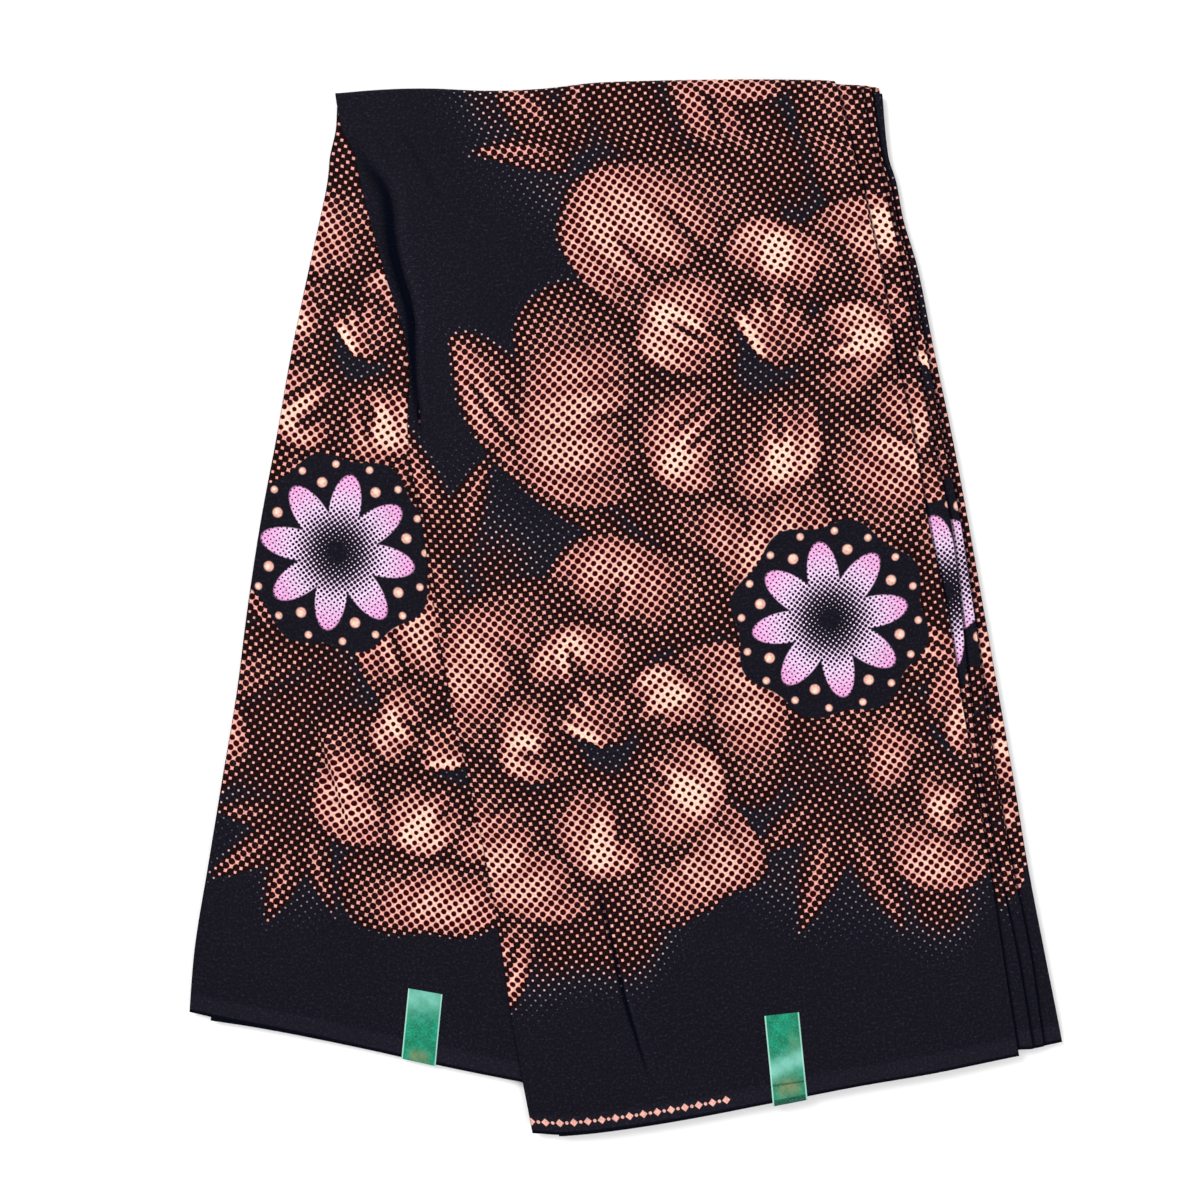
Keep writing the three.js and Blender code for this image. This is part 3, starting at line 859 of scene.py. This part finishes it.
def label_satin():
    """Green satin with a painted highlight band across it, a tarnished smudge by the fold, and
    painted shade along its fold line and where it turns under.
    """
    material, shader, g = new_material("label satin")
    place = g.node("ShaderNodeUVMap", uv_map="cloth_uv").outputs[0]
    inputs = {"Vector": place, "Scale": (1.0, 0.12, 1.0)}
    grain = g.noise(g.node("ShaderNodeMapping", inputs).outputs[0], SATIN_GRAIN, 3.0)
    clouds = g.noise(place, SATIN_CLOUD, 4.0)
    # Painted highlight: a pale band across the satin where the mesh's gleam is high.
    gleam = g.scaled(clouds, 1.3, 0.32)
    gleam = g.math("MULTIPLY", g.field("gleam"), gleam, clamp=True)
    colour = g.blend(g.step(clouds, 0.35, 0.7), GREEN, BRIGHT_GREEN)
    colour = g.blend(gleam, colour, GLEAM)
    stain = g.times(g.field("stain"), g.step(clouds, 0.25, 0.6, 0.2, 0.8))
    colour = g.blend(stain, colour, TARNISH)
    # Painted shade along the fold line and where the satin turns under the selvedge.
    colour = g.blend(g.times(g.field("fold"), 0.85), colour, SHADE_GREEN)
    fade = g.step(g.noise(place, SATIN_FADE, 3.0), 0.42, 0.72, 0.0, 0.14)
    colour = g.blend(fade, colour, FADED)
    side = g.math("ABSOLUTE", g.parts(place)[0])
    colour = g.blend(g.step(side, 0.0090, 0.0096, 0.0, 0.75), colour, RIM)
    waves = g.bump(clouds, 0.35, 0.0006, Normal=g.bump(grain, 0.25, 0.0001))
    g.join(colour, shader.inputs["Base Color"])
    g.join(g.scaled(grain, 0.25, 0.22), shader.inputs["Roughness"])
    g.join(waves, shader.inputs["Normal"])
    shader.inputs["Specular IOR Level"].default_value = 0.08
    shader.inputs["Sheen Weight"].default_value = 0.05
    return material


GROUPS = {"halftone": halftone_group(), "weave": weave_group(), "bloom": bloom_group()}
PRINT = printed_cotton("printed cotton", GROUPS, marked=False)
PRINT_MARKED = printed_cotton("printed cotton with selvedge marks", GROUPS, marked=True)
SATIN = label_satin()

# ------------------ the panels

NOSE_TURNS = np.linspace(0, math.pi / 2, 11)
FOLD_TURNS = np.linspace(0, math.pi, 8)[1:]
# Painted shade round a fold's turn and its run back under.
FOLD_PAINTED_SHADE = np.concatenate([-np.sin(FOLD_TURNS / 2) ** 0.5, [-1, -1]])  # dark inside a fold
# The lower ply of the doubled cloth shows past the upper one along a selvedge: how deep a
# strip is made, how soon its slip fades, and the air between the plies.
PLY = {"deep": 25, "fade": 45, "air": 0.12}
PANEL_LENGTH = 560
# Painted shadow: how far a covering fold's painted shadow reaches on the panel under it.
FOLD_SHADOW_REACH = 1.2  # how far the dark of a fold's edge reaches on the panel under it


def plan_points(panel, shares, depth):
    """Places on the table under a panel: columns between two fold lines, rows down it."""
    (start, tuck), (end, past) = panel["start"], panel["end"]
    rows = round(PANEL_LENGTH / MESH_STEP)
    reach = max(NOSE_LENGTH - depth, NOSE_LEAST)
    turns = np.concatenate([NOSE_TURNS, np.full(rows, math.pi / 2)])[:, None]
    down = np.concatenate([np.zeros(len(NOSE_TURNS)), np.linspace(0, 1, rows + 1)[1:]])[:, None]
    shares = np.asarray(shares)[None, :]

    def x_at(y):
        return mix(line_at(start, y) + tuck, line_at(end, y) + past, shares)

    y = np.zeros((len(down), shares.shape[1]))
    x = x_at(y)
    for _ in range(6):
        top = edge_at(TOP_FOLD, x) - depth - reach * (1 - np.cos(turns))
        y = mix(top, edge_at(panel["hem"], x), down)
        x = x_at(y)
    fall = max(NOSE_DROP - depth, NOSE_LEAST) * (1 - np.sin(turns))
    return x, y, pile_top(x, y) - depth - fall


def cloth_place(x, y, z, panel):
    """Where each point lies on the cloth: along it from a fold, and up from its selvedge."""
    lean = math.radians(panel["lean"])
    up = (math.sin(lean), math.cos(lean))
    along = (x - line_at(panel["origin"], y)) * up[1]
    rise = np.zeros_like(x)
    for _ in range(5):
        foot = x - up[0] * rise
        rise = (y - edge_at(panel["hem"], foot)) / up[1]
    # Round the top fold the cloth is longer than its plan.
    step = np.diff(grid_of(x, y, z), axis=0)
    spare = np.linalg.norm(step, axis=-1) - np.hypot(step[..., 0], step[..., 1])
    extra = np.concatenate([np.cumsum(spare[::-1], axis=0)[::-1], np.zeros((1, x.shape[1]))])
    return along, rise + extra


def edge_column(grid, side):
    pick = 0 if side < 0 else -1
    return grid[:, pick][:, None]


def beside(grid, extra, side):
    """The grid with extra columns, counted outward, at its left (-1) or right (1) side."""
    pair = (extra[:, ::-1], grid) if side < 0 else (grid, extra)
    return np.concatenate(pair, axis=1)


def add_fold(x, y, z, along, side):
    """Carries the cloth round a fold at one side of a panel and a short way back under."""
    ex, ey, ez, eu = (edge_column(grid, side) for grid in (x, y, z, along))
    back = np.array([FOLD_RETURN / 3, FOLD_RETURN])[None, :]
    fx = np.concatenate([ex + side * FOLD_RADIUS * np.sin(FOLD_TURNS)[None, :], ex - side * back], 1)
    drop = np.concatenate([FOLD_RADIUS * (1 - np.cos(FOLD_TURNS)), [2 * FOLD_RADIUS] * 2])
    fu = eu + side * np.concatenate([FOLD_RADIUS * FOLD_TURNS, FOLD_RADIUS * math.pi + back[0]])
    fy = np.repeat(ey, fx.shape[1], axis=1)
    inside = np.where(drop > FOLD_RADIUS, fx, ex)
    fz = ez + pile_top(inside, fy) - pile_top(ex, ey) - drop[None, :]
    return [beside(*pair, side) for pair in ((x, fx), (y, fy), (z, fz), (along, fu))]


def printed_part(outer, inner, u, v, painted_shading=None):
    """A closed cloth between two grids, with places on the cloth, the print and the painted shading
    at them.
    """
    points, faces = solid_between(outer, inner)
    u, v = u.ravel(), v.ravel()
    painted_shading = np.zeros_like(u) if painted_shading is None else painted_shading.ravel()
    attributes = {
        "cloth_uv": np.tile(np.stack([u, v], axis=1), (2, 1)),
        "tone": np.tile(print_tone(u, v), 2),
        "bloom": np.tile(bloom_offset(u, v), (2, 1)),
        "painted_shading": np.tile(painted_shading, 2),
    }
    return points, faces, attributes


def panel_part(panel, outer, along, up, painted_shading=None):
    u = along * MM + panel["print"]
    return printed_part(outer, inner_skin(outer, CLOTH), u, up * MM, painted_shading)


def panel_shares(panel):
    """Places of the columns across a panel, closer together where a crease runs."""
    places, place = [0.0], 0.0
    while place < panel["width"]:
        fine = any(low <= place < high for low, high in panel["fine"])
        place += MESH_STEP * (0.4 if fine else 1.0)
        places.append(place)
    return np.array(places) / place


def panel_parts(panel):
    """The panel's cloth, and the lower ply that shows beside it along the selvedge."""
    depth = panel["depth"]
    shares = panel_shares(panel)
    x, y, z = plan_points(panel, shares, depth)
    along, up = cloth_place(x, y, z, panel)
    # The creases' painted shading: painted shade in troughs, painted highlight on ridges.
    _, painted_shading, drawn = crease_shape(x, y)
    along = along + drawn
    # Painted shadow beside the fold that lies over this panel.
    if "under" in panel:
        covered = line_at(panel["under"], y) + FOLD_RADIUS + 1.0
        painted_shading -= 0.7 * ease((covered + FOLD_SHADOW_REACH - x) / FOLD_SHADOW_REACH)
    # Each folded side gets painted shade round its turn.
    for side in panel["folds"]:
        x, y, z, along = add_fold(x, y, z, along, side)
        up = beside(up, np.repeat(edge_column(up, side), len(FOLD_PAINTED_SHADE), axis=1), side)
        painted_shading = beside(painted_shading, np.repeat(FOLD_PAINTED_SHADE[None, :], len(up), axis=0), side)
    parts = [panel_part(panel, grid_of(x, y, z), along, up, painted_shading)]

    # The lower ply, a finger's width of it, a little out of line with the upper one.
    keep = round(PLY["deep"] / MESH_STEP)
    ply_shares = shares[(shares > panel["ply"]) & (shares < 1)]
    x, y, z = plan_points(panel, ply_shares, depth + CLOTH + PLY["air"])
    slip = panel["slip"] * np.exp(-(x - x[-1, 0]) / PLY["fade"])
    slip = slip * (1.1 + 0.25 * np.sin(x / 37 + depth) + 0.2 * np.sin(x / 13 + 2 * depth))
    y = y - slip * ease((edge_at(panel["hem"], x) + PLY["deep"] - y) / PLY["deep"])
    x, y, z = x[-keep:], y[-keep:], z[-keep:]
    along, up = cloth_place(x, y, z, panel)
    parts.append(panel_part(panel, grid_of(x, y, z), along, up))
    return parts


# The two wide panels: the fold lines each runs between and how far it goes in under, the
# selvedge, its depth below the top, its width and where its columns are closer, the
# sides that are folded, where its lower ply starts and how far that has slipped, the line
# and the lean that the print follows, its place in the print, the flat size of the cut
# and its area, and what it rests on.
PANELS = [
    {
        "node": "front_panel", "start": ("fold", 0), "end": ("edge", 0),
        "hem": FRONT_HEM, "depth": 0, "width": 292, "fine": ((0, 22), (58, 82)),
        "folds": (-1, 1), "ply": 0.05, "slip": 1.1, "origin": "fold", "lean": -10.5,
        "print": 0.0, "flat": (0.32, 0.60), "area": 0.185,
        "rests": ("left_panel", "right_layer_1", "hidden_layers"),
    },
    {
        "node": "left_panel", "start": ("left", 0), "end": ("fold", LEFT_TUCK),
        "hem": LEFT_HEM, "depth": LAYER, "width": 180, "fine": ((46, 80),),
        "folds": (-1,), "ply": 0.055, "slip": 1.7, "origin": "left", "lean": 9.2,
        "print": 0.385, "flat": (0.24, 0.56), "area": 0.082, "rests": ("hidden_layers",),
    },
]
# The folds fanned out on the right, each from under the one before it.
RIGHT_LAYERS = table_of(
    "node under origin width fine ply print cut rests",
    ("right_layer_1", "edge", "second", 56, ((42, 56),), 0.83, 0.235, 0.075, "right_layer_2"),
    ("right_layer_2", "second", "third", 63, ((48, 63),), 0.88, 0.415, 0.08, "right_layer_3"),
    ("right_layer_3", "third", "outer", 72, ((54, 72),), 0.88, 0.565, 0.085, "hidden_layers"),
)
for number, layer in enumerate(RIGHT_LAYERS, 1):
    PANELS.append({
        **layer, "start": ("edge", -RIGHT_TUCK), "end": (layer["origin"], 0),
        "hem": LAYER_HEM, "depth": number * LAYER, "folds": (1,), "slip": 0.0,
        "lean": -10.5, "flat": (layer["cut"], 0.57), "area": None,
        "rests": (layer["rests"],),
    })


def dress(piece, node):
    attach(piece, "root")
    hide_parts(node)


def make_panel(panel):
    material = PRINT_MARKED if panel["node"] == "front_panel" else PRINT
    piece = make_piece(panel["node"] + "_cloth", panel_parts(panel), material)
    dress(piece, panel["node"])


# ------------------ hidden layers and underside

PLIES = 9
CORE_BOTTOM = WALL + GAP
CORE_CLEAR = 0.5  # air between the hidden layers and the walls over them
CORE_EASE = 6  # how far a step in those walls' depth is eased over
# How much of its room each run fills, how far its rim is rounded, how far the top one
# stands back at the top fold, and from which share of the height on.
RUN = {"fill": 0.72, "round": 0.55, "back": 8.5, "from": 0.42}
# How far the runs' sides wander, in waves of which length, fading towards the middle.
WANDER_ACROSS = {"by": 0.7, "wave": 47, "fade": 120}
WANDER_DOWN = {"by": 0.6, "wave": 41, "fade": 150}


def whole_outline(inset_left, inset_right, inset_hem, inset_top, rows=44, columns=54):
    """Plan of the fanned outline, stepping at the front fold from one selvedge to the other."""
    groups = (
        (("left", inset_left), ("fold", 2), np.linspace(0, 1, columns // 3), LEFT_HEM),
        (("fold", 4.5), ("outer", -inset_right), np.linspace(0, 1, columns), LAYER_HEM),
    )
    xs, ys = [], []
    down = np.linspace(0, 1, rows)[:, None]
    for start, end, shares, hem in groups:
        y = np.zeros((rows, len(shares)))
        for _ in range(6):
            low = line_at(start[0], y) + start[1]
            high = np.maximum(line_at(end[0], y) + end[1], low + 0.5)
            x = mix(low, high, shares[None, :])
            y = mix(edge_at(TOP_FOLD, x) - inset_top, edge_at(hem, x) + inset_hem, down)
        xs.append(x)
        ys.append(y)
    return np.concatenate(xs, axis=1), np.concatenate(ys, axis=1)


def core_top(x, y):
    """Height the hidden layers fill up to, under whichever walls cover them."""
    past_fold = x - line_at("fold", y)
    inside_edge = line_at("edge", y) - x
    depth = mix(2 * LAYER, LAYER, ease((past_fold - LEFT_TUCK - 2) / CORE_EASE))
    depth = mix(depth, 4 * LAYER, ease((RIGHT_TUCK - inside_edge + CORE_EASE) / 5))
    nose = edge_at(TOP_FOLD, x) - y
    turned = np.clip(nose / NOSE_LENGTH, 0, 1)
    fall = (NOSE_DROP - 1.0) * (1 - np.sqrt(1 - (1 - turned) ** 2))
    return pile_top(x, y) - depth - fall - CORE_CLEAR


def wander(across, along, turn, size):
    """How far a run's side at across lies out of line, in waves along it."""
    wave = size["by"] * np.sin(along / size["wave"] + turn)
    return wave * ease(np.abs(across) / size["fade"]) * np.sign(across)


def ply_part(index, draws):
    """One folded run of the hidden cloth: a thin slab with a round edge, out of line."""
    wobble = draws.uniform(0, 2 * math.pi, 4)
    base = draws.uniform(0.7, 2.6, 4)
    share = (index + 0.5) / PLIES
    top_inset = base[0] + RUN["back"] * max(share - RUN["from"], 0) / (1 - RUN["from"])
    x, y = whole_outline(base[1], base[2], base[3] + 1.0, top_inset)
    x = x + wander(x, y, wobble[0], WANDER_ACROSS)
    y = y + wander(y, x, wobble[1], WANDER_DOWN)
    room = np.maximum(core_top(x, y) - CORE_BOTTOM, WALL)
    half = RUN["fill"] * room / PLIES / 2
    z = CORE_BOTTOM + room * share
    outer, inner = grid_of(x, y, z + half), grid_of(x, y, z - half)
    # A rounded rim: the outermost ring of both faces is pulled in to the middle height.
    for grid, sign in ((outer, -1), (inner, 1)):
        for edge in (np.s_[0, :], np.s_[-1, :], np.s_[:, 0], np.s_[:, -1]):
            grid[edge][..., 2] += sign * RUN["round"] * half[edge]
    return printed_part(outer, inner, 0.1 * index + x * MM, (y - y.min()) * MM)


def make_hidden_layers():
    draws = np.random.default_rng(17)
    parts = [ply_part(index, draws) for index in range(PLIES)]
    piece = make_piece("hidden_layers_cloth", parts, PRINT)
    dress(piece, "hidden_layers")


def make_back_panel():
    """The run that lies flat on the table."""
    x, y = whole_outline(0.4, 0.4, 1.2, 0.6, rows=150, columns=120)
    top, bottom = grid_of(x, y, WALL), grid_of(x, y, 0.0)
    part = printed_part(top, bottom, 0.28 - x * MM, (y - y.min()) * MM)
    piece = make_piece("back_panel_cloth", [part], PRINT)
    dress(piece, "back_panel")


# ------------------ labels

# Each label's gleam sets its painted highlight band: how high up it lies, its spread, slant and
# strength.
LABELS = (
    {
        "node": "label_left", "hem": LEFT_HEM, "x": -121.3, "lean": 0.098, "cut": -0.175,
        "width": 20, "length": 41, "depth": LAYER, "fold": None, "lip": 0.3,
        "gleam": {"up": 38, "spread": 9, "slant": 0.2, "strength": 0.75},
        "stain": 2.6, "smudge": (3.2, 5.6), "rests": "left_panel",
    },
    {
        "node": "label_right", "hem": FRONT_HEM, "x": 96.2, "lean": -0.098, "cut": 0.11,
        "width": 20.2, "length": 50.3, "depth": 0, "fold": 9.5, "lip": 1.5,
        "gleam": {"up": 21, "spread": 5.5, "slant": 0.35, "strength": 0.95},
        "stain": 7.6, "smudge": (5.4, 7.2), "rests": "front_panel",
    },
)
LABEL_CLOTH = 0.16
LABEL_LIFT = 0.30
LABEL_BOW = 0.5
LABEL_CURL = {"height": 0.35, "from": 6}
LABEL_TURN = (WALL + 0.35) / 2  # radius round the selvedge
LABEL_RETURN = 11


def label_path(label):
    """Heights up from the hem along the strip, from its top end round to its end behind."""
    lip = label["lip"]
    front = np.concatenate([np.linspace(label["length"], 0, 90), [-0.5 * lip, -lip]])
    turn = np.linspace(0, math.pi, 9)[1:]
    around = -lip - LABEL_TURN * np.sin(turn) * 0.8
    behind = np.linspace(-lip, LABEL_RETURN, 8)
    drop = [np.zeros_like(front), LABEL_TURN * (1 - np.cos(turn)), np.full(8, 2 * LABEL_TURN)]
    return np.concatenate([front, around, behind]), np.concatenate(drop)


def label_grid(label, up, across, drop):
    """Points of the satin's upper face."""
    hem = edge_at(label["hem"], label["x"] + across)
    x = label["x"] + across + label["lean"] * up
    square = edge_at(label["hem"], label["x"]) + up + label["cut"] * across
    y = mix(hem + up, square, ease(up / 20))
    z = pile_top(x, np.maximum(y, edge_at(label["hem"], x))) - label["depth"] + LABEL_LIFT
    bow = LABEL_BOW * np.sin(np.pi * np.clip(up / label["length"], 0, 1)) ** 2
    curl = LABEL_CURL["height"] * ease((up - label["length"]) / LABEL_CURL["from"] + 1)
    curl = curl * (across / label["width"] * 2) ** 2
    z = z + np.where(drop > 0, 0, bow + curl) - drop
    if label["fold"]:
        z = z - 0.42 * np.exp(-(((up - label["fold"]) / 0.7) ** 2)) * (drop == 0)
    return grid_of(x, y, z)


def label_marks(label, v, across):
    """Where the satin gets its painted highlight, where it is stained, and where it gets painted
    shade at its fold line and its turn under the selvedge, at heights v up the strip.
    """
    # The gleam is a painted highlight band.
    gleam = label["gleam"]
    away = (v - gleam["up"] - gleam["slant"] * across) / gleam["spread"]
    gleam = gleam["strength"] * np.exp(-(away**2))
    high, wide = label["smudge"]
    stain = np.exp(-(((v - label["stain"]) / high) ** 2) - (across / wide) ** 4)
    fold = np.zeros_like(v)
    if label["fold"]:
        patch = np.exp(-(((v - 33) / 6) ** 2) - ((across - 5.5) / 3.2) ** 2)
        stain = stain + 0.35 * patch
        # Painted shade along the fold line, and where the satin turns under the selvedge.
        fold = np.exp(-(((v - label["fold"]) / 0.5) ** 2)) + ease((1.6 - v) / 0.5)
    return {"gleam": gleam, "stain": stain, "fold": fold}


def make_label(label):
    """A satin strip lying on its panel, turned round the selvedge and back underneath."""
    up, drop = label_path(label)
    run = np.concatenate([[0], np.cumsum(np.hypot(np.diff(up), np.diff(drop)))])
    across = np.linspace(-0.5, 0.5, 17)[None, :] * label["width"]
    outer = label_grid(label, up[:, None], across, drop[:, None])
    points, faces = solid_between(outer, inner_skin(outer, LABEL_CLOTH))
    v, across = np.broadcast_arrays((label["length"] - run)[:, None], across)
    uv = np.stack([across.ravel(), v.ravel()], axis=1) * MM
    attributes = {"cloth_uv": np.tile(uv, (2, 1))}
    for name, mark in label_marks(label, v, across).items():
        attributes[name] = np.tile(mark.ravel(), 2)
    piece = make_piece(label["node"] + "_satin", [(points, faces, attributes)], SATIN)
    dress(piece, label["node"])


for panel in PANELS:
    make_panel(panel)
make_hidden_layers()
make_back_panel()
for label in LABELS:
    make_label(label)

# ------------------ table, light and camera

VIEW_WIDTH = 0.7032
VIEW_MIDDLE = Vector((-0.0149, 0.0050, 0.008))
CAMERA_HEIGHT = 1.60
SENSOR_WIDTH = 36
TABLE_WIDTH = 8.0
ROOM_LIGHT = 0.86
# Each light: its place in metres, width and power in watts.
LIGHTS = table_of(
    "name place size watts",
    ("window", (-1.5, 1.3, 2.6), 1.6, 64),
    ("fill", (1.6, -1.4, 2.4), 2.0, 26),
)


def make_table():
    mesh = bpy.data.meshes.new("table")
    half = TABLE_WIDTH / 2
    corners = [(-half, -half, 0), (half, -half, 0), (half, half, 0), (-half, half, 0)]
    mesh.from_pydata(corners, [], [(0, 1, 2, 3)])
    material, shader, _ = new_material("pale table")
    shader.inputs["Base Color"].default_value = (0.93, 0.93, 0.93, 1)
    shader.inputs["Roughness"].default_value = 0.9
    shader.inputs["Specular IOR Level"].default_value = 0.1
    mesh.materials.append(material)
    add_object("table", mesh)


def add_light(name, place, size, watts):
    light = bpy.data.lights.new(name, "AREA")
    light.shape = "DISK"
    light.size = size
    light.energy = watts
    lamp = add_object(name, light)
    lamp.location = place
    lamp.rotation_euler = (-Vector(place)).to_track_quat("-Z", "Y").to_euler()


def set_world(strength):
    world = bpy.data.worlds.new("soft room")
    world.use_nodes = True
    background = world.node_tree.nodes["Background"]
    background.inputs["Color"].default_value = (1, 1, 1, 1)
    background.inputs["Strength"].default_value = strength
    bpy.context.scene.world = world


def make_camera():
    data = bpy.data.cameras.new("camera")
    data.sensor_width = SENSOR_WIDTH
    data.lens = SENSOR_WIDTH * CAMERA_HEIGHT / VIEW_WIDTH
    data.clip_end = 20
    camera = add_object("camera", data)
    camera.location = VIEW_MIDDLE + Vector((0, 0, CAMERA_HEIGHT))
    bpy.context.scene.camera = camera


make_table()
set_world(ROOM_LIGHT)
for light in LIGHTS:
    add_light(**light)
make_camera()
bpy.context.scene.view_settings.view_transform = "Standard"
